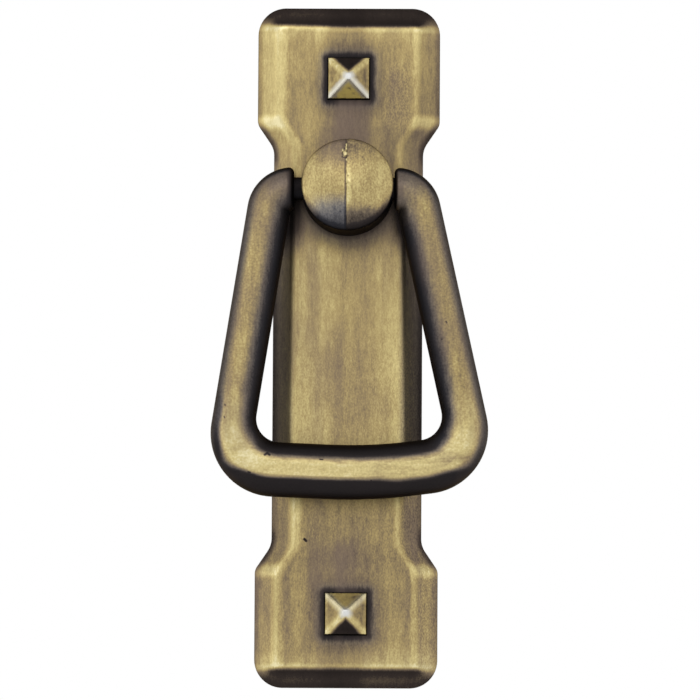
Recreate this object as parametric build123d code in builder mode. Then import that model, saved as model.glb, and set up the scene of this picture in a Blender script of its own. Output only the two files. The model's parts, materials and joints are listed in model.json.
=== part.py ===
from build123d import *

import os
from math import cos, hypot, radians, tan

# A drop pull for a cabinet door: a pressed backplate with two pyramid studs, a round
# hinge post and a bail that swings from the post.
# Millimetres and degrees. X runs across the pull, +Z is up, the front faces -Y and the
# door is the plane Y = 0. The origin is the mouth of the screw hole in the post's back.

# Backplate outline
plate_height = 117.5
head_width = 31.4
shoulder_step = 2.85
head_length = 20.2
shoulder_angle = 34.0
end_corner_radius = 4.8
shoulder_crest_radius = 2.0
shoulder_root_radius = 4.0
fold_corner_radius = 1.0
post_from_top = 31.95

# Backplate section, an even sheet folded down all round to a rim that meets the door
sheet_thickness = 1.5
rim_height = 1.5
bevel_width = 3.3
bevel_height = 2.2
fold_radius = 1.8
rim_edge_radius = 0.4

# Pyramid studs, riveted through the plate
stud_from_end = 12.55
stud_width = 7.0
stud_wall_height = 0.8
stud_wall_draft = 0.2
stud_rise = 2.6
stud_tip_width = 0.9
stud_arris_radius = 0.6
stud_tip_radius = 0.3
stud_lip_radius = 0.2
tenon_diameter = 3.0
tenon_rivet_diameter = 5.0
tenon_rivet_height = 0.8

# Hinge post, cast in two halves that meet in a small step down the middle of its face
post_diameter = 15.8
post_side_height = 9.0
dome_rise = 1.7
dome_edge_radius = 1.0
seam_step = 0.22
spigot_diameter = 9.0
collar_diameter = 12.0
collar_thickness = 0.8
thread_minor_diameter = 3.45
thread_depth = 9.0
rivet_clearance = 0.05

# Bail, a cast rod with rounded sides that is thicker in the grip, which bows down a little.
# It was closed by hand over the post, so its two sides differ and it sits off centre.
leg_width = 7.4
grip_width = 9.35
bail_depth = 7.6
rod_flat = 0.1
left_leg_angle = 9.0
right_leg_angle = 12.5
left_grip_angle = 2.3
right_grip_angle = 7.0
grip_bow_radius = 90.0
grip_bow_x = 4.4
elbow_inner_radius = 0.4
grip_inner_radius = 4.1
grip_outer_radius = 10.9
bail_drop = 48.95
bail_shift = 0.6
left_end_gap = 1.3
right_end_gap = 0.15
bail_end_straight = 0.2
bail_end_radius = 0.9
grip_rest_gap = 0.35

# Bail pins, which hang on the lower side of the post's side holes
pin_diameter = 4.0
pin_engagement = 4.0
pin_clearance = 0.3
pin_rest_gap = 0.03
pin_end_clearance = 0.6

# Levels above the door, and other sizes that follow
waist_width = head_width - 2 * shoulder_step
post_above_centre = plate_height / 2 - post_from_top
stud_spacing = plate_height - 2 * stud_from_end
face_level = rim_height + bevel_height
sheet_back_level = face_level - sheet_thickness
post_radius = post_diameter / 2
pin_radius = pin_diameter / 2
axis_level = face_level + bail_depth / 2 + grip_rest_gap
bail_sag = pin_clearance - pin_rest_gap

# Front view planes: local x is X, local y is up, and the normal points away from the door
plate_plane = Plane(origin=(0, 0, -post_above_centre), x_dir=(1, 0, 0), z_dir=(0, -1, 0))
post_plane = Plane.XZ
bail_plane = Plane(origin=(-bail_shift, -axis_level, -bail_sag), x_dir=(1, 0, 0), z_dir=(0, -1, 0))


def plate_face(level, inset, crest_radius):
    """The plate's outline at a level above the door, moved inwards by inset."""
    half_head = head_width / 2 - inset
    half_waist = waist_width / 2 - inset
    end = plate_height / 2 - inset
    crest = plate_height / 2 - head_length + inset * tan(radians(shoulder_angle / 2))
    root = crest - (half_head - half_waist) / tan(radians(shoulder_angle))
    quarter = [
        (half_head, end, max(end_corner_radius - inset, fold_corner_radius)),
        (half_head, crest, crest_radius),
        (half_waist, root, shoulder_root_radius + inset),
    ]
    right = quarter + [(x, -z, radius) for x, z, radius in reversed(quarter)]
    corners = right + [(-x, z, radius) for x, z, radius in reversed(right)]
    with BuildSketch(plate_plane.offset(level)) as outline:
        with BuildLine():
            FilletPolyline(
                *[(x, z) for x, z, radius in corners],
                radius=[radius for x, z, radius in corners],
                close=True,
            )
        make_face()
    return outline.sketch


# Insets and levels that keep the sheet's thickness even behind the folds
slope_length = hypot(bevel_width, bevel_height)
inner_rim_level = rim_height - sheet_thickness * bevel_width / (slope_length + bevel_height)
inner_fold_inset = bevel_width + sheet_thickness * bevel_height / (slope_length + bevel_width)

# Backplate: rim and bevel outside, an even hollow behind, and holes for post and studs
with BuildPart() as backplate:
    extrude(plate_face(0, 0, shoulder_crest_radius), amount=rim_height)
    foot = plate_face(rim_height, 0, shoulder_crest_radius)
    fold = plate_face(face_level, bevel_width, fold_corner_radius)
    loft([foot, fold], ruled=True)
    fillet(backplate.faces().sort_by(Axis.Y).first.edges(), radius=fold_radius)
    rim_edges = backplate.edges().filter_by_position(Axis.Y, -rim_height, -rim_height)
    fillet(rim_edges, radius=rim_edge_radius)
    inner_foot = plate_face(0, sheet_thickness, fold_corner_radius)
    extrude(inner_foot, amount=inner_rim_level, mode=Mode.SUBTRACT)
    inner_rim = plate_face(inner_rim_level, sheet_thickness, fold_corner_radius)
    inner_fold = plate_face(sheet_back_level, inner_fold_inset, fold_corner_radius)
    loft([inner_rim, inner_fold], ruled=True, mode=Mode.SUBTRACT)
    with BuildSketch(post_plane):
        Circle(spigot_diameter / 2 + rivet_clearance)
    extrude(amount=face_level, mode=Mode.SUBTRACT)
    with BuildSketch(plate_plane):
        with GridLocations(0, stud_spacing, 1, 2):
            Circle(tenon_diameter / 2 + rivet_clearance)
    extrude(amount=face_level, mode=Mode.SUBTRACT)
backplate.part.label = "backplate"


def make_stud(height_from_centre):
    """A pyramid stud on the plate's face, with its tenon riveted over behind the sheet."""
    origin = (0, -face_level, height_from_centre - post_above_centre)
    seat = Plane(origin=origin, x_dir=(1, 0, 0), z_dir=(0, -1, 0))
    foot_width = stud_width + 2 * stud_wall_draft
    lip_y = -face_level - stud_wall_height
    tip_y = lip_y - stud_rise
    with BuildPart() as stud:
        with BuildSketch(seat):
            Rectangle(foot_width, foot_width)
        with BuildSketch(seat.offset(stud_wall_height)):
            Rectangle(stud_width, stud_width)
        with BuildSketch(seat.offset(stud_wall_height + stud_rise)):
            Rectangle(stud_tip_width, stud_tip_width)
        loft(ruled=True)
        arrises = stud.edges().filter_by_position(Axis.Y, tip_y, lip_y, inclusive=(False, False))
        fillet(arrises, radius=stud_arris_radius)
        fillet(stud.faces().sort_by(Axis.Y).first.edges(), radius=stud_tip_radius)
        lips = stud.edges().filter_by_position(Axis.Y, lip_y, lip_y)
        fillet(lips, radius=stud_lip_radius)
        with BuildSketch(seat):
            Circle(tenon_diameter / 2)
        extrude(amount=-sheet_thickness)
        with BuildSketch(seat.offset(-sheet_thickness)):
            Circle(tenon_rivet_diameter / 2)
        extrude(amount=-tenon_rivet_height)
        rivet_end = stud.faces().sort_by(Axis.Y).last
        chamfer(rivet_end.edges(), length=tenon_rivet_height / 2)
    return stud.part


# Hinge post: each half is turned from its own profile, one half standing a step higher
post_section = Plane(origin=(0, 0, 0), x_dir=(0, 0, 1), z_dir=(1, 0, 0))


def post_profile(extra_height):
    """Half section of the post: distance from its axis, and height above the door."""
    spigot = spigot_diameter / 2
    collar = collar_diameter / 2
    side_top = face_level + post_side_height + extra_height
    with BuildSketch(post_section) as profile:
        with BuildLine():
            Polyline(
                (0, side_top + dome_rise),
                (0, 0),
                (spigot, 0),
                (spigot, sheet_back_level - collar_thickness),
                (collar, sheet_back_level - collar_thickness),
                (collar, sheet_back_level),
                (spigot, sheet_back_level),
                (spigot, face_level),
                (post_radius, face_level),
                (post_radius, side_top),
            )
            RadiusArc(
                (post_radius, side_top),
                (0, side_top + dome_rise),
                -(post_radius**2 + dome_rise**2) / (2 * dome_rise),
            )
        make_face()
        rim = profile.vertices().group_by(Axis.X)[-1].sort_by(Axis.Y).last
        fillet(rim, radius=dome_edge_radius)
    return profile.sketch


with BuildPart() as hinge_post:
    revolve(post_profile(0), axis=Axis.Y, revolution_arc=-180)
    revolve(post_profile(seam_step), axis=Axis.Y, revolution_arc=180)
    for side in (1, -1):
        with BuildSketch(Plane(origin=(side * post_radius, -axis_level, 0), z_dir=(side, 0, 0))):
            Circle(pin_radius + pin_clearance)
        extrude(amount=-pin_engagement - pin_end_clearance, mode=Mode.SUBTRACT)
    with BuildSketch(post_plane):
        Circle(thread_minor_diameter / 2)
    extrude(amount=thread_depth, mode=Mode.SUBTRACT)
hinge_post.part.label = "hinge_post"

# Bail: outline of the cast rod, from each end beside the post round to the grip
rod_edge_radius = min(leg_width, bail_depth) / 2 - rod_flat
right_end_x = post_radius + right_end_gap + bail_shift
left_end_x = post_radius + left_end_gap - bail_shift
elbow_x = max(right_end_x, left_end_x) + bail_end_straight
grip_top = grip_width / 2 - bail_drop
grip_bottom = -grip_width / 2 - bail_drop


def grip_corner(edge_x, lean, grip_angle, bow_x, bow_z):
    """Where a leg's edge meets the edge of the grip, which rises from the bow to the leg."""
    rise = tan(radians(grip_angle))
    z = (bow_z + (edge_x - bow_x) * rise) / (1 + rise * lean)
    return edge_x - z * lean, z


def bail_side(leg_angle, end_x, grip_angle, bow_x):
    """Outer and inner corners with their radii on one side, down from the end to the grip."""
    half_leg = leg_width / 2
    lean = tan(radians(leg_angle))
    offset = half_leg / cos(radians(leg_angle))
    bend = (half_leg + elbow_inner_radius) * tan(radians((90 - leg_angle) / 2))
    leg_x = elbow_x + bend
    outer = [
        (end_x, half_leg, 0),
        (leg_x - half_leg * lean + offset, half_leg, leg_width + elbow_inner_radius),
        (*grip_corner(leg_x + offset, lean, grip_angle, bow_x, grip_bottom), grip_outer_radius),
    ]
    inner = [
        (end_x, -half_leg, 0),
        (leg_x + half_leg * lean - offset, -half_leg, elbow_inner_radius),
        (*grip_corner(leg_x - offset, lean, grip_angle, bow_x, grip_top), grip_inner_radius),
    ]
    return outer, inner


right_outer, right_inner = bail_side(right_leg_angle, right_end_x, right_grip_angle, grip_bow_x)
left_outer, left_inner = bail_side(left_leg_angle, left_end_x, left_grip_angle, -grip_bow_x)
left_corners = list(reversed(left_outer)) + left_inner
bail_corners = right_outer + [(grip_bow_x, grip_bottom, grip_bow_radius)]
bail_corners += [(-x, z, radius) for x, z, radius in left_corners]
bail_corners += [(grip_bow_x, grip_top, grip_bow_radius - grip_width)]
bail_corners += list(reversed(right_inner))

with BuildPart() as bail:
    with BuildSketch(bail_plane.offset(-bail_depth / 2)):
        with BuildLine():
            FilletPolyline(
                *[(x, z) for x, z, radius in bail_corners],
                radius=[radius for x, z, radius in bail_corners],
                close=True,
            )
        make_face()
    extrude(amount=bail_depth)
    end_edges = bail.faces().filter_by(Axis.X).edges()
    fillet(bail.faces().filter_by(Axis.Y).edges() - end_edges, radius=rod_edge_radius)
    fillet(bail.faces().filter_by(Axis.X).edges(), radius=bail_end_radius)
    for side, gap in ((1, right_end_gap), (-1, left_end_gap)):
        bail_end = Plane(
            origin=(side * (post_radius + gap), -axis_level, -bail_sag),
            z_dir=(-side, 0, 0),
        )
        with BuildSketch(bail_end):
            Circle(pin_radius)
        extrude(amount=gap + pin_engagement)
bail.part.label = "bail"

os.makedirs("parts", exist_ok=True)
export_step(backplate.part, "parts/backplate.step")
export_step(hinge_post.part, "parts/hinge_post.step")
export_step(bail.part, "parts/bail.step")
for stud_name, offset_from_centre in (
    ("upper_stud", stud_spacing / 2),
    ("lower_stud", -stud_spacing / 2),
):
    stud_part = make_stud(offset_from_centre)
    stud_part.label = stud_name
    export_step(stud_part, f"parts/{stud_name}.step")
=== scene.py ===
import json
from math import cos, pi, radians, sin, sqrt
from types import SimpleNamespace

import bpy
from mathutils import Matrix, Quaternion, Vector, noise


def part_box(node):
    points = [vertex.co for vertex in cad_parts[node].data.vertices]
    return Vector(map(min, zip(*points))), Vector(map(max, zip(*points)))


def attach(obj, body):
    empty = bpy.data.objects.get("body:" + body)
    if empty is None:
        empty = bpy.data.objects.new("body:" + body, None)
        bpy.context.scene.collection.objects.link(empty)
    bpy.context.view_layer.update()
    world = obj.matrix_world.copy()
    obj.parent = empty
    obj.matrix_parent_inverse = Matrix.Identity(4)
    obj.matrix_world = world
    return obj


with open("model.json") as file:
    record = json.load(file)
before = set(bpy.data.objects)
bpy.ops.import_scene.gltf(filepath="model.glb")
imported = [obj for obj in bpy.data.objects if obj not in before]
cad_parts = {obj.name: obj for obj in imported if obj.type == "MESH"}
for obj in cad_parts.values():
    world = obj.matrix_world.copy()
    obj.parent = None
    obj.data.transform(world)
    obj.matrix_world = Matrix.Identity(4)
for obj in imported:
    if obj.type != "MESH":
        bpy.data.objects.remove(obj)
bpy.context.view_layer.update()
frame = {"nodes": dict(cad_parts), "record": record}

# The pull stands as it is fixed to a door: X across, +Z up, the front faces -Y.
# Objects and lights are in metres. Sizes on the part and inside the materials are in millimetres.
MM = 0.001


def node_box(node):
    """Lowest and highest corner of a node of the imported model, in millimetres."""
    low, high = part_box(node)
    return low / MM, high / MM


plate_low, plate_high = node_box("backplate")
stud_low, stud_high = node_box("upper_stud")
post_low, post_high = node_box("hinge_post")
mounts = {mount["name"]: mount["dims"] for mount in frame["record"]["mounts"]}

# Backplate and studs, about the plate's own middle
PLATE_CENTRE_Z = (plate_low.z + plate_high.z) / 2
PLATE_FACE_Y = plate_low.y
BEVEL_WIDTH = 3.3
BEVEL_HEIGHT = 2.2
SHOULDER_STEP = 2.85
SHOULDER_ROOT = 33.9
SHOULDER_CREST = 39.6
FOLD_HALF_WAIST = plate_high.x - SHOULDER_STEP - BEVEL_WIDTH
FOLD_END = plate_high.z - PLATE_CENTRE_Z - BEVEL_WIDTH
STUD_WALL_DRAFT = 0.2
STUD_HALF_WIDTH = stud_high.x - STUD_WALL_DRAFT
STUD_HALF_SPACING = (stud_low.z + stud_high.z) / 2 - PLATE_CENTRE_Z
OUT_OF_REACH = 20.0

# Hinge post
POST_RADIUS = post_high.z
DOME_RADIUS = 19.2
SEAM_STEP = 0.22
DOME_TOP_Y = post_low.y + SEAM_STEP
SCREW_HOLE_RADIUS = mounts["mounting_screw"]["r_mm"]
SCREW_HOLE_DEPTH = mounts["mounting_screw"]["length_mm"]
THREAD_PITCH = 0.794

# Bail, whose loop has an inner core that its outward direction is measured from
BAIL_CORE_HALF = 8.5
BAIL_CORE_SPREAD = 0.083
BAIL_CORE_TOP = -4.4
BAIL_CORE_BOTTOM = -39.7
LEAST_REACH = 0.001
LEG_FOOT_Z = -41.0
BEND_Z = -41.5
GRIP_TOP_Z = -46.0
LEFT_END_GAP = 1.3
RIGHT_END_GAP = 0.15
LEFT_END_X = -POST_RADIUS - LEFT_END_GAP
RIGHT_END_X = POST_RADIUS + RIGHT_END_GAP

# Camera, fitted to the outlines of the plate and the bail
IMAGE_PIXELS = 700
PIXELS_PER_METRE = 5820
SENSOR_WIDTH = 36.0
CLIP_END = 20.0
VIEW_TARGET = Vector((0.48, -3.7, -27.6)) * MM
VIEW_DISTANCE = 1.2
VIEW_AZIMUTH = radians(1.0)
VIEW_ELEVATION = radians(-5.5)
VIEW_ROLL = radians(0.33)

# Studio: each lamp's name, its place in metres and its power in watts
LAMPS = (
    ("key_light", Vector((-0.1, -1.0, 0.55)), 1.6),
    ("left_light", Vector((-0.9, -0.6, 0.1)), 0.9),
    ("right_light", Vector((0.9, -0.6, 0.1)), 0.5),
)
LAMP_SIZE = 0.7
WHITE = (1.0, 1.0, 1.0, 1.0)
FILL_STRENGTH = 0.8
FLOOR_Z = -0.25
FLOOR_HALF = 3.0
FLOOR_COLOUR = (0.86, 0.86, 0.85, 1.0)
FLOOR_ROUGHNESS = 0.8
FLOOR_GLOW = 0.3


def srgb(red, green, blue):
    """A colour written as the eye sees it, 0 to 255, as linear light."""
    def linear(value):
        value /= 255
        return value / 12.92 if value <= 0.04045 else ((value + 0.055) / 1.055) ** 2.4
    return (linear(red), linear(green), linear(blue), 1.0)


# Antique brass from dark patina at tone 0 to brass rubbed bright at tone 1, and the same in cool grey.
# Painted shade darkens the tone too, and the cool grey tints the painted shade and the grey patina.
BRASS_TONES = (
    (0.00, srgb(26, 23, 23)),
    (0.16, srgb(53, 46, 43)),
    (0.36, srgb(112, 98, 79)),
    (0.58, srgb(160, 141, 97)),
    (0.80, srgb(198, 182, 127)),
    (1.00, srgb(224, 213, 168)),
)
SLATE_TONES = (
    (0.00, srgb(25, 25, 28)),
    (0.16, srgb(47, 47, 52)),
    (0.36, srgb(96, 94, 96)),
    (0.58, srgb(140, 134, 124)),
    (0.80, srgb(188, 178, 152)),
    (1.00, srgb(216, 211, 196)),
)
MAUVE_FILM = srgb(120, 104, 94)
# Painted light, partly polish, on the studs' inner faces, and painted highlight, partly the metal itself,
# on their tips and arrises
POLISHED_AND_LIT_FACE = srgb(198, 180, 108)
BARE_METAL_AND_GLINT = srgb(206, 210, 216)
EDGE_TINT = (0.5, 0.46, 0.4, 1.0)

# Roughness of the patina, and what polishing to tone 1 takes away from it
PATINA_ROUGHNESS = 0.5
POLISH = 0.16

# Shifts that keep the noises of a surface apart
CLOUD_SHIFT = 9.0
STROKE_SHIFT = 3.0
GRAIN_SHIFT = 5.0

# Share of a pit's or a nick's width that is at its full depth, and how softly pits are picked
PIT_CORE = 0.4
NICK_CORE = 0.3
LOT_SOFTNESS = 0.02

# Sockets of a Mix node that mixes colours
MIX_FIRST = 6
MIX_SECOND = 7
MIX_RESULT = 2


class Field:
    """A number that varies over a surface. Sums and products of fields build Math nodes."""

    def __init__(self, tree, socket):
        self.tree = tree
        self.socket = socket

    def _math(self, operation, *others):
        node = self.tree.nodes.new("ShaderNodeMath")
        node.operation = operation
        for index, value in enumerate((self, *others)):
            if isinstance(value, Field):
                self.tree.links.new(value.socket, node.inputs[index])
            else:
                node.inputs[index].default_value = value
        return Field(self.tree, node.outputs[0])

    def __add__(self, other):
        return self._math("ADD", other)

    def __sub__(self, other):
        return self._math("SUBTRACT", other)

    def __mul__(self, other):
        return self._math("MULTIPLY", other)

    def __truediv__(self, other):
        return self._math("DIVIDE", other)

    def __neg__(self):
        return self._math("MULTIPLY", -1.0)

    def inverse(self):
        """One minus the field."""
        return self._math("MULTIPLY_ADD", -1.0, 1.0)

    def shaded(self, share):
        """The field with a share of it taken away."""
        return self * share.inverse()

    def plus(self, *changes):
        """The field with changes added, each a mask and its weight."""
        total = self
        for mask, weight in changes:
            total = total + mask * weight
        return total

    def darken_by(self, *dark_places):
        """The field darkened by patina, marks and painted shade, each a mask and the share that it takes
        away.
        """
        remaining = self
        for mask, share in dark_places:
            remaining = remaining.shaded(mask * share)
        return remaining

    def size(self):
        return self._math("ABSOLUTE")

    def sign(self):
        return self._math("SIGN")

    def least(self, other):
        return self._math("MINIMUM", other)

    def most(self, other):
        return self._math("MAXIMUM", other)

    def length_with(self, other):
        """Length of the flat vector whose sides are the two fields."""
        return (self * self + other * other)._math("SQRT")

    def swing(self, weight):
        """The field about its middle value of a half, times a weight."""
        return (self - 0.5) * weight

    def step(self, low, high):
        """A soft step from 0 at low to 1 at high."""
        node = self.tree.nodes.new("ShaderNodeMapRange")
        node.interpolation_type = "SMOOTHSTEP"
        node.inputs["From Min"].default_value = min(low, high)
        node.inputs["From Max"].default_value = max(low, high)
        node.inputs["To Min"].default_value = 0.0 if low < high else 1.0
        node.inputs["To Max"].default_value = 1.0 if low < high else 0.0
        self.tree.links.new(self.socket, node.inputs["Value"])
        return Field(self.tree, node.outputs["Result"])

    def band(self, middle, half_width, softness):
        """1 within half_width of a middle value, falling to 0 over softness."""
        return (self - middle).size().step(half_width + softness, half_width)


class Surface:
    """One procedural material, with the part's own coordinates in millimetres."""

    def __init__(self, name):
        self.material = bpy.data.materials.new(name)
        self.material.use_nodes = True
        self.tree = self.material.node_tree
        self.shader = self.tree.nodes["Principled BSDF"]
        coordinates = self.tree.nodes.new("ShaderNodeTexCoord")
        scale = self.tree.nodes.new("ShaderNodeVectorMath")
        scale.operation = "SCALE"
        scale.inputs["Scale"].default_value = 1 / MM
        self.tree.links.new(coordinates.outputs["Object"], scale.inputs[0])
        self.place = scale.outputs[0]
        self.x, self.y, self.z = self._components(self.place)
        self.normal_x, self.normal_y, self.normal_z = self._components(coordinates.outputs["Normal"])
        self.front = -self.normal_y

    def _components(self, socket):
        node = self.tree.nodes.new("ShaderNodeSeparateXYZ")
        self.tree.links.new(socket, node.inputs[0])
        return [Field(self.tree, output) for output in node.outputs]

    def noise(self, per_mm, detail=3.0, shift=0.0):
        """Noise from 0 to 1 with its own fineness along X, Y and Z."""
        mapping = self.tree.nodes.new("ShaderNodeMapping")
        mapping.inputs["Scale"].default_value = per_mm
        mapping.inputs["Location"].default_value = (shift, shift, shift)
        self.tree.links.new(self.place, mapping.inputs["Vector"])
        node = self.tree.nodes.new("ShaderNodeTexNoise")
        node.inputs["Scale"].default_value = 1.0
        node.inputs["Detail"].default_value = detail
        self.tree.links.new(mapping.outputs[0], node.inputs["Vector"])
        return Field(self.tree, node.outputs["Fac"])

    def pits(self, per_mm, radius, share):
        """Small round pits, 1 in their middle, in a share of the cells of a random grid."""
        node = self.tree.nodes.new("ShaderNodeTexVoronoi")
        node.inputs["Scale"].default_value = per_mm
        self.tree.links.new(self.place, node.inputs["Vector"])
        distance = Field(self.tree, node.outputs["Distance"])
        lot = self._components(node.outputs["Color"])[0]
        return distance.step(radius, radius * PIT_CORE) * lot.step(share + LOT_SOFTNESS, share)

    def nick(self, start, end, width):
        """A short straight nick in the front, between two points of the front view, 1 along its middle."""
        run = (end[0] - start[0], end[1] - start[1])
        span = run[0] ** 2 + run[1] ** 2
        from_start = (self.x - start[0], self.z - start[1])
        along = (from_start[0] * run[0] + from_start[1] * run[1]) / span
        along = along.most(0.0).least(1.0)
        aside = (from_start[0] - along * run[0]).length_with(from_start[1] - along * run[1])
        return aside.step(width, width * NICK_CORE) * self.front.step(0.2, 0.5)

    def mix(self, share, colour, other):
        """From colour to other as share goes from 0 to 1. Either may be a colour socket."""
        node = self.tree.nodes.new("ShaderNodeMix")
        node.data_type = "RGBA"
        self.tree.links.new(share.socket, node.inputs["Factor"])
        for value, index in ((colour, MIX_FIRST), (other, MIX_SECOND)):
            if isinstance(value, tuple):
                node.inputs[index].default_value = value
            else:
                self.tree.links.new(value, node.inputs[index])
        return node.outputs[MIX_RESULT]

    def ramp(self, tone, tones):
        """Colour at a tone of a ramp of tones."""
        node = self.tree.nodes.new("ShaderNodeValToRGB")
        stops = node.color_ramp.elements
        for index, (position, colour) in enumerate(tones):
            stop = stops[index] if index < len(stops) else stops.new(position)
            stop.position = position
            stop.color = colour
        self.tree.links.new(tone.socket, node.inputs["Fac"])
        return node.outputs["Color"]

    def brass(self, tone, slate_share):
        """Colour of antique brass at a tone, a share of it in the cool grey of painted shade and grey
        patina.
        """
        return self.mix(slate_share, self.ramp(tone, BRASS_TONES), self.ramp(tone, SLATE_TONES))

    def finish(self, colour, roughness, height, depth):
        """Connects colour, roughness and surface relief, whose full height is depth in millimetres."""
        self.tree.links.new(colour, self.shader.inputs["Base Color"])
        self.tree.links.new(roughness.socket, self.shader.inputs["Roughness"])
        bump = self.tree.nodes.new("ShaderNodeBump")
        bump.inputs["Distance"].default_value = depth * MM
        self.tree.links.new(height.socket, bump.inputs["Height"])
        self.tree.links.new(bump.outputs[0], self.shader.inputs["Normal"])
        self.shader.inputs["Metallic"].default_value = 1.0
        self.shader.inputs["Specular Tint"].default_value = EDGE_TINT
        return self.material


def roughness_at(tone, patina=PATINA_ROUGHNESS):
    """Roughness of brass at a tone, from the patina's own to that of the metal after polishing."""
    return tone * -POLISH + patina


def plate_regions(surface, strokes):
    """Soft masks of the plate's halves and bevels, and distances past its folds."""
    height = surface.z - PLATE_CENTRE_Z
    from_middle = height.size()
    upper = height.step(-5.0, 5.0)
    lower = upper.inverse()
    right = surface.x.step(-1.0, 1.0)
    fold = from_middle.step(SHOULDER_ROOT, SHOULDER_CREST) * SHOULDER_STEP + FOLD_HALF_WAIST
    past_fold = surface.x.size() - fold + strokes.swing(0.5) + right * 0.3
    end_shift = lower * 0.45 + upper * surface.x.step(0.0, -11.0) * 0.35
    past_end_fold = from_middle - FOLD_END - end_shift + strokes.swing(0.4)
    facing_end = surface.normal_z.size() - surface.normal_x.size() * 0.5
    end_bevel = (facing_end + strokes.swing(0.15)).step(-0.1, 0.3) * past_end_fold.step(-0.9, 0.3)
    return SimpleNamespace(
        height=height,
        from_middle=from_middle,
        upper=upper,
        lower=lower,
        right=right,
        left=right.inverse(),
        past_fold=past_fold,
        past_end_fold=past_end_fold,
        down_bevel=(surface.y - PLATE_FACE_Y) / BEVEL_HEIGHT,
        side_bevel=past_fold.step(-0.8, 0.9),
        end_bevel=end_bevel,
        by_bail=height.band(0.0, 19.0, 8.0),
    )


def plate_wear_and_highlights(plate):
    """Where the plate is brighter along its side folds, its end folds and its shoulders' crests: wear and
    painted highlight.
    """
    left_line = plate.past_fold.band(-0.7, 0.4, 1.2) * plate.left
    right_line = plate.past_fold.band(-0.4, 0.1, 1.0) * plate.right
    low_left_line = plate.past_fold.band(-0.5, 0.05, 0.5) * plate.left * plate.lower
    side_folds = left_line.most(right_line) + low_left_line * 0.6
    side_folds = side_folds * plate.end_bevel.inverse().shaded(plate.by_bail * 0.9)
    end_folds = plate.past_end_fold.band(-0.5, 0.2, 0.8) + plate.past_end_fold.band(-1.0, 0.4, 2.4) * 0.5
    end_folds = end_folds * plate.end_bevel.inverse()
    crests = plate.from_middle.band(SHOULDER_CREST - 0.9, 0.3, 1.5) * plate.past_fold.step(-2.2, 0.6)
    return side_folds, end_folds, crests


def plate_dark_places(surface, plate, strokes):
    """Distances from the studs and the post, out of reach on the back, and masks of the front's darker
    places.
    """
    front_face = surface.front.step(-0.2, 0.2)
    on_back = front_face.inverse() * OUT_OF_REACH
    stud_x = (surface.x.size() - STUD_HALF_WIDTH).most(0.0)
    stud_z = ((plate.from_middle - STUD_HALF_SPACING).size() - STUD_HALF_WIDTH).most(0.0)
    past_stud = plate.from_middle - STUD_HALF_SPACING - STUD_HALF_WIDTH
    elbow_shadow = surface.z.step(3.0, 0.5) * surface.z.step(-13.0, -6.0)
    return SimpleNamespace(
        by_stud=stud_x.length_with(stud_z) + strokes.swing(0.5) + on_back,
        by_post=surface.x.length_with(surface.z) - POST_RADIUS + on_back,
        below_post=surface.z.step(2.0, -6.0),
        above_post=surface.x.band(0.3, 1.5, 4.5) * surface.z.band(12.0, 2.0, 5.0) * front_face,
        # Painted shade that the bail's elbows would cast: on the right beside the post, and under both
        # elbows
        painted_shade_right_of_post=surface.x.band(9.8, 2.4, 2.4) * surface.z.band(6.5, 2.5, 3.5) * front_face,
        painted_elbow_shade=surface.x.size().step(6.5, 9.0) * elbow_shadow * front_face,
        rough_patch=surface.x.band(8.6, 0.8, 2.4) * plate.height.band(43.0, 3.0, 5.0) * front_face,
        # Darker places past each stud towards the plate's ends, and above the lower stud
        past_stud_darkening=surface.x.band(-0.4, 2.4, 1.8) * past_stud.step(-1.0, 0.5) * front_face,
        patch_above_low_stud=surface.x.band(-3.0, 2.0, 4.0) * plate.height.band(-38.0, 2.0, 4.0) * front_face,
    )


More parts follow.
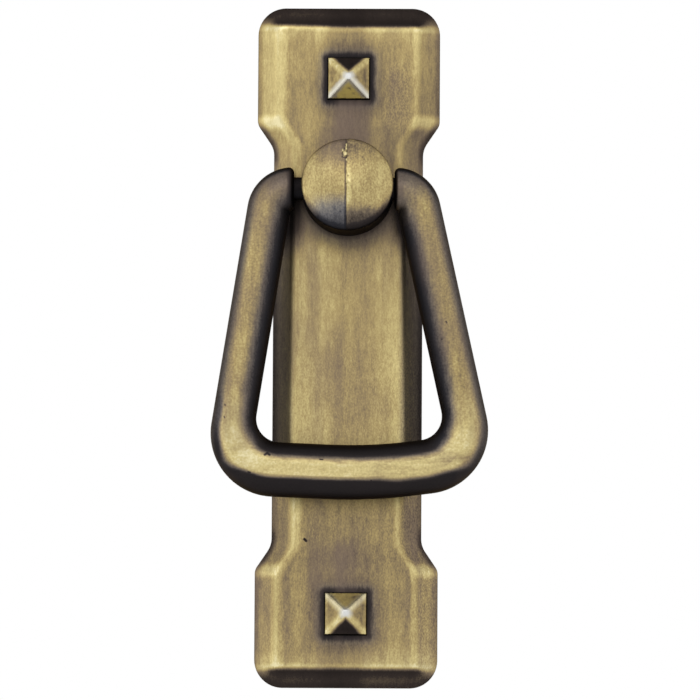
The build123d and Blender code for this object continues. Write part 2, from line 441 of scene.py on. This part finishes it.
def backplate_material():
    """Brushed up and down, worn bright along the folds, dark on the end bevels and round the studs."""
    surface = Surface("plate_antique_brass")
    bands = surface.noise((0.3, 0.3, 0.03))
    clouds = surface.noise((0.1, 0.1, 0.06), shift=CLOUD_SHIFT)
    strokes = surface.noise((2.8, 1.5, 0.6), detail=4.0, shift=STROKE_SHIFT)
    grain = surface.noise((5.5, 5.5, 2.8), detail=2.0, shift=GRAIN_SHIFT)
    pit = surface.nick((-7.15, -60.2), (-6.85, -60.5), 0.32)
    plate = plate_regions(surface, strokes)
    dark_places = plate_dark_places(surface, plate, strokes)
    side_folds, end_folds, crests = plate_wear_and_highlights(plate)

    graininess = plate.lower * (plate.side_bevel * plate.right * 0.3 + 0.14) + 0.26
    brighter_beside_bail = surface.x.band(-6.0, 1.5, 3.5) * 0.09 + surface.x.band(7.0, 1.0, 3.0) * 0.04 + 0.04
    worn_and_lit = bands.swing(0.4) + clouds.swing(0.26) + strokes.swing(0.28) + grain.swing(graininess) + 0.52
    # Brighter beside the bail, and along the folds and crests with wear and painted highlight; the side
    # bevels lighter, most at the upper left, and the upper right darker, as painted light and shade
    worn_and_lit = worn_and_lit.plus(
        (plate.by_bail, brighter_beside_bail),
        (plate.height.band(-33.0, 3.0, 5.0), -0.06),
        (plate.height.band(-41.0, 4.0, 4.0), -0.04),
        (plate.height.band(50.5, 2.0, 4.0), 0.06),
        (plate.right * plate.height.step(30.0, 40.0), -0.08),
        (plate.right * plate.height.step(-50.0, -53.0), 0.08),
        (side_folds, 0.18),
        (end_folds, 0.2),
        (crests, 0.28),
        (plate.side_bevel, plate.left * plate.upper * 0.06 + plate.lower * 0.04),
    )

    in_notch = plate.from_middle.band(35.0, 2.0, 2.5)
    below_grip = plate.height.band(-29.5, 2.5, 5.0)
    # Painted shade on the side bevels beside and below the bail, and on the bevels' outer lip
    side_shade = plate.by_bail * (plate.down_bevel.step(-0.1, 0.8) * 0.24 + 0.17) + below_grip * 0.22
    rim_shade = in_notch * 0.4 + plate.by_bail * 0.22 + 0.26
    # Painted shade under and beside the elbows and round the post, most below it; patina with some painted
    # shade round the studs; darker places past and above the studs and above the post; dark end bevels,
    # back and edges, a grainy patch and a pit
    tone = worn_and_lit.darken_by(
        (plate.side_bevel, side_shade),
        (plate.down_bevel.step(0.6, 0.95), rim_shade),
        (dark_places.painted_elbow_shade, 0.78),
        (dark_places.past_stud_darkening, 0.24),
        (dark_places.patch_above_low_stud, 0.12),
        (dark_places.painted_shade_right_of_post, 0.2),
        (dark_places.by_stud.step(4.5, 0.3), 0.3),
        (dark_places.by_stud.step(1.6, 0.3), 0.78),
        (dark_places.by_post.step(4.5, 0.0), dark_places.below_post * 0.36 + 0.06),
        (dark_places.by_post.step(1.0, 0.0), dark_places.below_post * 0.35),
        (dark_places.above_post, 0.3),
        (plate.end_bevel, plate.down_bevel.step(0.7, 0.0) * 0.2 + 0.66),
        (surface.front.step(0.5, 0.2), 0.5),
        (dark_places.rough_patch, grain.step(0.6, 0.35) * 0.16),
        (pit, 0.9),
    )

    film = clouds.inverse() * 0.5 + bands.inverse() * 0.6
    film = film.plus(
        (side_folds, -0.2),
        (plate.left * plate.height.step(36.0, 46.0), -0.12),
        (dark_places.above_post, 0.2),
        (dark_places.rough_patch, 0.15),
        (dark_places.patch_above_low_stud, 0.15),
    )
    film = film.step(0.45, 0.85) * plate.end_bevel.inverse() * 0.6
    film = film.shaded(plate.side_bevel * plate.by_bail * 0.8)
    # Cool grey in the painted shade beside the bail and under the post, and round the studs
    slate = dark_places.by_stud.step(2.5, 0.5) * 0.4
    slate = slate.plus(
        (dark_places.by_post.step(3.0, 0.0), dark_places.below_post * 0.3),
        (plate.side_bevel, plate.by_bail * 0.4),
    )
    colour = surface.mix(film, surface.brass(tone, slate.least(1.0)), MAUVE_FILM)
    relief = strokes.swing(0.5) + grain.swing(0.5) - pit
    return surface.finish(colour, roughness_at(tone), relief, depth=0.02)


def stud_material():
    """Wear and painted highlight on arrises and tip, painted light on left and inner faces, dark wall and
    end face.
    """
    surface = Surface("stud_antique_brass")
    mottle = surface.noise((1.1, 1.1, 1.1), detail=4.0, shift=CLOUD_SHIFT)
    strokes = surface.noise((2.0, 1.5, 0.8), detail=4.0, shift=STROKE_SHIFT)
    grain = surface.noise((5.0, 5.0, 2.4), detail=2.0, shift=GRAIN_SHIFT)

    height = surface.z - PLATE_CENTRE_Z
    upper = height.step(-1.0, 1.0)
    left = surface.x.step(0.4, -0.4)
    across = surface.x.size()
    towards_end = height.size() - STUD_HALF_SPACING
    along = towards_end.size()
    out = across.most(along)
    end_face = (towards_end - across.length_with(0.5) + strokes.swing(0.3)).step(-0.1, 0.5)
    inner_face = (-towards_end - across + strokes.swing(0.4)).step(0.1, 0.7)
    wall = surface.front.step(0.45, 0.25)
    lip = out.band(STUD_HALF_WIDTH - 0.2, 0.1, 0.35)
    arris = ((across - along).size() + mottle.swing(0.8)).step(1.5, 0.3)
    inner_arris = arris * towards_end.step(0.1, -0.4)
    tip = (across.length_with(along) + strokes.swing(0.6)).step(1.6, 0.3)

    # Painted light on the left faces; the arrises brighter with wear and painted highlight
    worn_and_lit = mottle.swing(0.5) + strokes.swing(0.24) + grain.swing(0.2) + 0.5
    worn_and_lit = worn_and_lit.plus((left, 0.1), (arris, 0.26), (lip, 0.1), (out.step(1.0, 2.8), -0.06))
    tone = worn_and_lit.darken_by((end_face * arris.inverse(), 0.86), (wall, 0.9))
    # Painted light, partly polish, on the face towards the plate's middle, stronger on the upper stud;
    # painted highlight, partly the metal showing through, on the tip and on the arrises towards the middle
    polished_and_lit = inner_face * arris.inverse() * wall.inverse() * mottle.step(0.2, 0.5)
    bare_and_glint = tip.most(inner_arris * (upper * 0.45 + 0.25))
    bare_and_glint = bare_and_glint.shaded(wall).shaded(end_face).shaded(polished_and_lit * 0.8)
    colour = surface.mix(polished_and_lit * (upper * 0.6 + 0.3), surface.brass(tone, wall * 0.5), POLISHED_AND_LIT_FACE)
    colour = surface.mix(bare_and_glint * 0.8, colour, BARE_METAL_AND_GLINT)
    roughness = roughness_at(tone, patina=0.48) + polished_and_lit * 0.3
    relief = mottle.swing(0.6) + strokes.swing(0.5) + grain.swing(0.5)
    return surface.finish(colour, roughness, relief, depth=0.03)


def post_material():
    """Cast face with a seam, brown at its upper left, grey at its lower left, painted shade on its top,
    lower right and under its edge.
    """
    surface = Surface("post_antique_brass")
    bands = surface.noise((0.4, 0.4, 0.08))
    clouds = surface.noise((0.25, 0.25, 0.25), shift=CLOUD_SHIFT)
    strokes = surface.noise((2.2, 1.5, 0.6), detail=4.0, shift=STROKE_SHIFT)
    grain = surface.noise((3.6, 3.6, 2.6), detail=3.0, shift=GRAIN_SHIFT)
    pits = surface.pits(0.8, 0.2, 0.14)

    face = surface.front.step(0.2, 0.7)
    side = face.inverse()
    low = surface.z.step(1.0, -3.0)
    left = surface.x.step(-0.05, -0.25)
    right = left.inverse()
    radius = surface.x.length_with(surface.z)
    blotch_x = surface.x + clouds.swing(0.8) + strokes.swing(0.6)
    blotch_z = surface.z + clouds.swing(1.0) + strokes.swing(0.9)
    brown = blotch_x.step(-6.4, -3.6) * left * blotch_z.step(1.2, 6.6)
    grey = blotch_x.step(-7.2, -4.2) * left * blotch_z.step(-1.0, -4.4) * face
    # Painted shade on the lower right of the face
    lower_right_shade = blotch_x.band(2.2, 1.6, 2.4) * blotch_z.step(-2.4, -5.6) * right
    under_edge = blotch_z.step(-3.0, -7.4)
    lower_lip = (radius + strokes.swing(0.3)).step(6.5, 7.5) * surface.z.step(-0.5, -4.5)
    seam_side = surface.x + strokes.swing(0.3)
    groove = seam_side.band(-0.28, 0.07, 0.22) * face
    beside_groove = seam_side.band(-1.6, 0.5, 1.0) * face
    ridge = seam_side.band(0.26, 0.1, 0.6) * surface.z.step(-9.0, -3.0) * surface.z.step(5.0, 1.0) * face
    # Painted shadow beside and under the flash's lumps
    by_flash = surface.nick((-0.8, 4.6), (-0.2, 4.5), 0.3)
    by_flash = by_flash.most(surface.nick((-0.5, 7.2), (-0.3, 6.2), 0.9) * 0.7)

    worn_and_lit = bands.swing(0.26) + clouds.swing(0.2) + strokes.swing(0.28) + grain.swing(0.54) + 0.65
    # Painted shade on the upper part of the face, more on the right
    worn_and_lit = worn_and_lit.plus((ridge, 0.17), (surface.z.step(2.5, 6.5), right * -0.16 - 0.08))
    # Painted shade on the lower right, under the edge, on the lower lip, by the flash and on the sides,
    # most below; patina in the seam's groove; brown and grey patches, a darker strip beside the groove, and
    # pits
    tone = worn_and_lit.darken_by(
        (brown, 0.26),
        (grey, 0.2),
        (lower_right_shade, 0.36),
        (under_edge, 0.55),
        (lower_lip, left * -0.15 + 0.65),
        (groove, 0.5),
        (beside_groove, 0.12),
        (by_flash, 0.5),
        (pits, 0.35),
        (side, low * 0.6 + 0.3),
    )
    slate = (grey + lower_right_shade * 0.25 + side * low).least(1.0)
    colour = surface.mix(brown * 0.4, surface.brass(tone, slate), MAUVE_FILM)
    relief = strokes.swing(0.5) + grain.swing(0.8) - pits
    return surface.finish(colour, roughness_at(tone), relief, depth=0.03)


def flash_material():
    """Rough casting flash, rubbed pale on its lumps, with painted shade on their left and lower sides."""
    surface = Surface("flash_antique_brass")
    strokes = surface.noise((2.2, 1.5, 0.9), detail=4.0, shift=STROKE_SHIFT)
    grain = surface.noise((3.6, 3.6, 2.6), detail=3.0, shift=GRAIN_SHIFT)
    aside = surface.normal_x.step(-0.25, -0.7).most(surface.normal_z.step(-0.4, -0.8))
    worn_and_lit = strokes.swing(0.3) + grain.swing(0.4) + 0.8
    # Painted shade on the sides facing left and on those facing down
    tone = worn_and_lit.shaded(aside * 0.7)
    colour = surface.brass(tone, grain.inverse() * 0.4)
    return surface.finish(colour, roughness_at(tone), grain, depth=0.03)


# Nicks in the bail's front: start and end of each in the front view, and its width
BAIL_NICKS = (
    ((-13.8, -46.35), (-13.4, -46.05), 0.3),
    ((-13.4, -46.05), (-13.0, -46.35), 0.3),
    ((-4.4, -47.1), (-3.9, -47.15), 0.16),
    ((-16.6, -49.3), (-16.3, -49.4), 0.22),
    ((-20.7, -37.7), (-20.65, -37.9), 0.18),
    ((-20.8, -39.8), (-20.75, -40.0), 0.18),
    ((17.0, -23.4), (17.1, -23.6), 0.22),
)


def bail_directions(surface):
    """How far each point faces away from the loop's core, and how far down that way leads, from -1 to 1."""
    core_half = surface.z * -BAIL_CORE_SPREAD + BAIL_CORE_HALF
    out_x = (surface.x.size() - core_half).most(LEAST_REACH) * surface.x.sign()
    out_z = (surface.z - BAIL_CORE_BOTTOM).least(0.0) + (surface.z - BAIL_CORE_TOP).most(0.0)
    reach = out_x.length_with(out_z)
    outward = (surface.normal_x * out_x + surface.normal_z * out_z) / reach
    downward = -(out_z / reach)
    return outward, downward


def bail_shades(surface, wavy, downward, under, over, bend):
    """The patina and painted shade on the outer side of the loop, and inside it.

    The outer one is narrow on the legs and wide under the grip. The inner one is the other way round,
    and at the grip's right end both lie lower.
    """
    leg_end = bend * downward.step(0.95, 0.6)
    left_leg_end = leg_end * surface.x.step(0.0, -8.0)
    right_corner = surface.x.step(8.0, 13.0) * downward.band(0.7, 0.1, 0.2)
    elbow = surface.z.step(-9.0, -3.0)

    outer_shift = surface.x.band(11.5, 2.0, 4.5) * -0.12 + 0.58
    outer_edge = wavy.plus((under, outer_shift), (over, -0.1), (left_leg_end, 0.15)) - 0.69
    under_width = surface.x.step(2.0, 8.0) * 0.08 - 0.13
    outer_width = under * under_width - over * 0.1 - left_leg_end * 0.14 + 0.28
    outer_shade = (outer_edge / outer_width).step(-1.0, 1.0)

    inner_shift = surface.x.step(-4.0, 12.0) * 0.05 + 0.12
    inner_edge = (-wavy).plus((under, inner_shift), (right_corner, 0.13), (leg_end, -0.1)) - 0.32
    inner_width = under * -0.1 + 0.4
    inner_shade = (inner_edge / inner_width).step(-1.0, 1.0)
    inner_shade = inner_shade.shaded(elbow * (surface.x.step(5.0, 7.0) * 0.35 + 0.15))
    return outer_shade, inner_shade


def bail_material():
    """Brushed along the rod; front rubbed bright, painted highlight; patina and painted shade in the loop
    and under the grip.
    """
    surface = Surface("bail_antique_brass")
    grip = surface.z.step(LEG_FOOT_Z, GRIP_TOP_Z)
    leg = grip.inverse()
    bands = surface.noise((0.5, 0.5, 0.05)) * leg + surface.noise((0.05, 0.5, 0.5)) * grip
    leg_strokes = surface.noise((2.6, 1.5, 0.5), detail=4.0, shift=STROKE_SHIFT)
    grip_strokes = surface.noise((0.5, 1.5, 2.6), detail=4.0, shift=STROKE_SHIFT)
    strokes = leg_strokes * leg + grip_strokes * grip
    grain = surface.noise((2.8, 2.8, 2.8), detail=3.0, shift=GRAIN_SHIFT)
    clouds = surface.noise((0.15, 0.15, 0.1), shift=CLOUD_SHIFT)
    pits = surface.pits(0.5, 0.12, 0.2)
    for start, end, width in BAIL_NICKS:
        pits = pits.most(surface.nick(start, end, width))

    outward, downward = bail_directions(surface)
    wavy = outward + bands.swing(0.08) + strokes.swing(0.08)
    low_side = downward.step(-0.1, 0.7)
    under = downward.step(0.65, 1.0)
    over = downward.step(-0.1, -0.9)
    bend = surface.z.band(BEND_Z, 2.5, 5.0)
    outer_shade, inner_shade = bail_shades(surface, wavy, downward, under, over, bend)
    # Painted highlight at the grip's lower corners, painted reflection on their outer rims, and the fronts
    # of the bends lighter
    corner_highlight = downward.band(0.55, 0.2, 0.3) * outward.band(0.12, 0.12, 0.3)
    corner_sheen = outward.step(0.72, 0.95) * downward.band(0.5, 0.15, 0.35)
    bend_brightening = bend * outward.band(0.1, 0.35, 0.4)
    at_left_end = surface.x.step(LEFT_END_X - 1.6, LEFT_END_X - 0.2)
    at_right_end = surface.x.step(RIGHT_END_X + 0.8, RIGHT_END_X + 0.1)
    at_ends = at_left_end * at_right_end * surface.z.step(-6.0, -2.0)
    near_ends = surface.x.size().step(17.0, 12.0) * surface.z.step(-4.0, 2.5)
    behind = surface.front.step(0.0, -0.4)

    worn_and_lit = bands.swing(0.3) + clouds.swing(0.2) + strokes.swing(0.26) + grain.swing(0.46) + 0.53
    # Painted highlight on the grip and at its corners; the bends and the left leg lighter
    worn_and_lit = worn_and_lit.plus(
        (under * grip, 0.34),
        (corner_highlight, 0.14),
        (bend_brightening, 0.13),
        (surface.x.step(-10.0, -14.0), 0.04),
    )
    # Patina and painted shade inside the loop and on its outer side, a painted reflection on the corners'
    # rims, darker near the post, painted shadow in the gaps at the ends, and a dark back and pits
    tone = worn_and_lit.darken_by(
        (inner_shade, under * 0.12 + 0.8),
        (outer_shade, low_side * 0.36 + over * 0.36 + 0.56),
    )
    tone = tone.plus((corner_sheen, 0.12))
    tone = tone.darken_by((near_ends, 0.45), (at_ends, 0.95), (behind, 0.5), (pits, 0.65))
    # Cool grey in the painted shade and near the post
    slate = ((inner_shade + outer_shade) * (under * -0.45 + 0.85) + near_ends * 0.5).least(1.0)
    film = clouds.step(0.62, 0.35) * 0.3 + bands.inverse().step(0.45, 0.75) * 0.25 + near_ends * 0.3
    film = film.shaded(slate).shaded(under).shaded(at_ends)
    colour = surface.mix(film, surface.brass(tone, slate), MAUVE_FILM)
    relief = strokes.swing(0.5) + grain.swing(0.5) - pits
    return surface.finish(colour, roughness_at(tone), relief, depth=0.025)


def paint(node, material):
    """Gives a CAD node its finished material."""
    mesh = frame["nodes"][node].data
    mesh.materials.clear()
    mesh.materials.append(material)


post_brass = post_material()
stud_brass = stud_material()
paint("backplate", backplate_material())
paint("upper_stud", stud_brass)
paint("lower_stud", stud_brass)
paint("hinge_post", post_brass)
paint("bail", bail_material())


def add_piece(name, points, faces, material, body):
    """A smooth mesh piece from points in millimetres, which rides on a body of the frame."""
    mesh = bpy.data.meshes.new(name)
    mesh.from_pydata([Vector(point) * MM for point in points], [], faces)
    mesh.validate()
    mesh.shade_smooth()
    mesh.materials.append(material)
    piece = bpy.data.objects.new(name, mesh)
    bpy.context.scene.collection.objects.link(piece)
    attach(piece, body)


def strip_faces(rows, columns):
    """Quads of a grid of points that is stored row by row."""
    return [
        (row * columns + column, row * columns + column + 1,
         (row + 1) * columns + column + 1, (row + 1) * columns + column)
        for row in range(rows - 1)
        for column in range(columns - 1)
    ]


def casting_flash():
    """Metal that ran over the seam near the top of the post's face: a ragged ridge with lumps."""
    rows, columns = 64, 26
    low_end, high_end = 2.8, 7.0
    left_edge, right_edge = -1.3, 0.3
    highest = SEAM_STEP + 0.1
    sunk_foot, sunk_border = 0.04, 0.06
    ragged_mean, ragged_swing = 0.9, 0.35
    ragged_per_mm_x, ragged_per_mm_z = 2.1, 1.7
    # Each lump's place across and up, its radius and its height
    lumps = (
        (-0.42, 5.15, 0.6, 0.42),
        (-0.85, 5.8, 0.24, 0.18),
        (-0.16, 6.1, 0.44, 0.28),
        (-0.1, 6.7, 0.34, 0.2),
        (-0.08, 4.1, 0.26, 0.12),
    )
    points = []
    for row in range(rows):
        z = low_end + (high_end - low_end) * row / (rows - 1)
        for column in range(columns):
            x = left_edge + (right_edge - left_edge) * column / (columns - 1)
            rise = sum(
                high * max(0.0, 1 - ((x - lump_x) ** 2 + (z - lump_z) ** 2) / size**2)
                for lump_x, lump_z, size, high in lumps
            )
            roughening = noise.noise(Vector((x * ragged_per_mm_x, 0.0, z * ragged_per_mm_z)))
            ragged = ragged_mean + ragged_swing * roughening
            border = row in (0, rows - 1) or column in (0, columns - 1)
            rise = -sunk_border if border else min(rise * ragged, highest) - sunk_foot
            dome = sqrt(DOME_RADIUS**2 - x**2 - z**2) - DOME_RADIUS
            points.append((x, DOME_TOP_Y - dome - rise, z))
    add_piece("post_flash", points, strip_faces(rows, columns), flash_material(), "base")


def screw_thread():
    """Thread ridge that winds up the wall of the post's screw hole."""
    per_turn = 40
    plain_turns = 0.8
    first_turn = 0.45
    root_depth, crest_height = 0.02, 0.13
    root_half, crest_half = 0.36, 0.05
    # Corners of the ridge: how far out from the wall in millimetres, and along the axis in pitches
    section = (
        (root_depth, -root_half),
        (-crest_height, -crest_half),
        (-crest_height, crest_half),
        (root_depth, root_half),
    )
    turns = SCREW_HOLE_DEPTH / THREAD_PITCH - plain_turns
    steps = int(turns * per_turn)
    points = []
    for step in range(steps + 1):
        angle = 2 * pi * step / per_turn
        fade = min(1.0, step / per_turn, (steps - step) / per_turn)
        depth = THREAD_PITCH * (first_turn + step / per_turn)
        for outset, offset in section:
            radius = SCREW_HOLE_RADIUS + (outset if outset > 0 else outset * fade)
            points.append((radius * cos(angle), -depth - offset * THREAD_PITCH, radius * sin(angle)))
    add_piece("screw_thread", points, strip_faces(steps + 1, len(section)), post_brass, "base")


casting_flash()
screw_thread()


def soft_light(name, place, power):
    """A square area light that faces the middle of the pull."""
    light = bpy.data.lights.new(name, "AREA")
    light.size = LAMP_SIZE
    light.energy = power
    lamp = bpy.data.objects.new(name, light)
    lamp.location = place
    lamp.rotation_euler = (VIEW_TARGET - place).to_track_quat("-Z", "Y").to_euler()
    bpy.context.scene.collection.objects.link(lamp)


for lamp_name, lamp_place, lamp_power in LAMPS:
    soft_light(lamp_name, lamp_place, lamp_power)


def seen_directly(tree, *kinds):
    """1 for the kinds of rays that see a surface or the world itself, rather than its light."""
    rays = tree.nodes.new("ShaderNodeLightPath")
    seen = Field(tree, rays.outputs[kinds[0]])
    for kind in kinds[1:]:
        seen = seen.most(Field(tree, rays.outputs[kind]))
    return seen


# Floor, well under the pull and under the line of sight, brighter in reflections
floor_mesh = bpy.data.meshes.new("floor")
floor_corners = [
    (-FLOOR_HALF, -FLOOR_HALF),
    (FLOOR_HALF, -FLOOR_HALF),
    (FLOOR_HALF, FLOOR_HALF),
    (-FLOOR_HALF, FLOOR_HALF),
]
floor_mesh.from_pydata([(x, y, FLOOR_Z) for x, y in floor_corners], [], [(0, 1, 2, 3)])
floor = bpy.data.objects.new("floor", floor_mesh)
bpy.context.scene.collection.objects.link(floor)
floor_paint = bpy.data.materials.new("floor_paint")
floor_paint.use_nodes = True
floor_shader = floor_paint.node_tree.nodes["Principled BSDF"]
floor_shader.inputs["Base Color"].default_value = FLOOR_COLOUR
floor_shader.inputs["Roughness"].default_value = FLOOR_ROUGHNESS
floor_shader.inputs["Emission Color"].default_value = WHITE
glow = seen_directly(floor_paint.node_tree, "Is Glossy Ray", "Is Transmission Ray") * FLOOR_GLOW
floor_paint.node_tree.links.new(glow.socket, floor_shader.inputs["Emission Strength"])
floor_mesh.materials.append(floor_paint)

# World: white where the camera or a reflection sees it, and a plain fill elsewhere
world = bpy.data.worlds.new("studio")
world.use_nodes = True
bpy.context.scene.world = world
world_seen = seen_directly(world.node_tree, "Is Camera Ray", "Is Glossy Ray", "Is Transmission Ray")
strength = world_seen * (1 - FILL_STRENGTH) + FILL_STRENGTH
background = world.node_tree.nodes["Background"]
background.inputs["Color"].default_value = WHITE
world.node_tree.links.new(strength.socket, background.inputs["Strength"])

# Camera
camera_data = bpy.data.cameras.new("camera")
camera_data.sensor_width = SENSOR_WIDTH
camera_data.lens = SENSOR_WIDTH * PIXELS_PER_METRE * VIEW_DISTANCE / IMAGE_PIXELS
camera_data.clip_end = CLIP_END
camera = bpy.data.objects.new("camera", camera_data)
bpy.context.scene.collection.objects.link(camera)
towards_camera = Vector((
    sin(VIEW_AZIMUTH) * cos(VIEW_ELEVATION),
    -cos(VIEW_AZIMUTH) * cos(VIEW_ELEVATION),
    sin(VIEW_ELEVATION),
))
camera.location = VIEW_TARGET + towards_camera * VIEW_DISTANCE
camera.rotation_mode = "QUATERNION"
camera.rotation_quaternion = (-towards_camera).to_track_quat("-Z", "Y") @ Quaternion((0, 0, 1), VIEW_ROLL)
bpy.context.scene.camera = camera
bpy.context.scene.view_settings.view_transform = "Standard"
